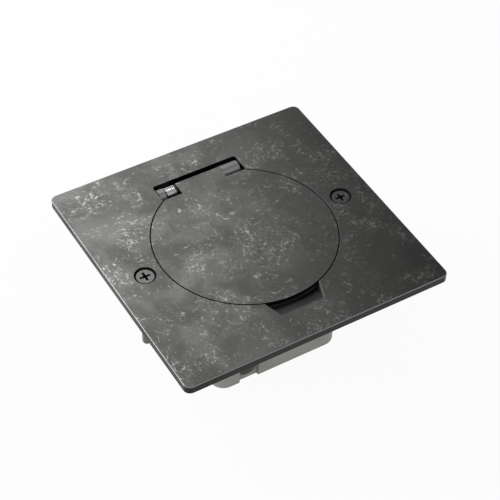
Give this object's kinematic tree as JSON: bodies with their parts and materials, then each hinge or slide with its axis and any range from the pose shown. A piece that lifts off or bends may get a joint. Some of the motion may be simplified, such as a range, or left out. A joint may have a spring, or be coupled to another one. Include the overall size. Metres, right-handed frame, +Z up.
{
  "type": "floor socket box",
  "caption": "Flush floor socket box: square metal cover plate with a sprung round flap lid over a shuttered three-pin socket in a grey moulded housing.",
  "frame": {"origin": "on the housing's bottom face, under the middle of the cover plate", "axes": "+Z up out of the floor, +Y towards the lid's hinge, -Y towards the finger scoop"},
  "size_m": [0.12, 0.117, 0.0525],
  "materials": {
    "antique_metal": "mottled antique finish, satin",
    "bracket_metal": "die cast, satin",
    "pin_steel": "drawn",
    "spring_steel": "bright drawn wire",
    "screw_steel": "blackened",
    "zinc_steel": "zinc plated",
    "grey_plastic": "moulded, matt",
    "black_plastic": "moulded, semi gloss",
    "cream_plastic": "moulded, matt",
    "shutter_plastic": "moulded, matt",
    "contact_brass": "pressed strip",
    "terminal_brass": "turned and drilled bar",
    "black_rubber": "moulded, matt"
  },
  "bodies": {
    "box": {"housing": "grey_plastic", "socket_well": "grey_plastic", "socket_face": "black_plastic", "face_screws": "zinc_steel", "contact_carrier": "cream_plastic", "shutter_spring": "spring_steel", "live_contact": "contact_brass", "neutral_contact": "contact_brass", "earth_contact": "contact_brass", "live_terminal": "terminal_brass", "neutral_terminal": "terminal_brass", "earth_terminal": "terminal_brass", "terminal_screws": "zinc_steel", "cover_plate": "antique_metal", "housing_screws": "zinc_steel", "lid_seal": "black_rubber", "floor_gasket": "black_rubber", "hinge_bracket": "bracket_metal", "hinge_pin": "pin_steel", "hinge_spring": "spring_steel", "bracket_screws": "zinc_steel", "plate_screws": "screw_steel"},
    "lid": {"flap_lid": "antique_metal"},
    "shutter_slide_body": {"shutter": "shutter_plastic"}
  },
  "joints": [
    {"name": "lid_hinge", "type": "hinge", "parent": "box", "child": "lid", "pos_m": [0, 0.0393, 0.049], "axis": [-1, 0, 0], "range_deg": [0, 92], "stiffness_Nm_per_rad": 0.012, "springref_deg": -68.75, "deforming": ["hinge_spring"]},
    {"name": "shutter_slide", "type": "slide", "parent": "box", "child": "shutter_slide_body", "axis": [0, -1, 0], "range_m": [0, 0.0055], "stiffness_N_per_m": 60, "springref_m": -0.004, "deforming": ["shutter_spring"]}
  ]
}
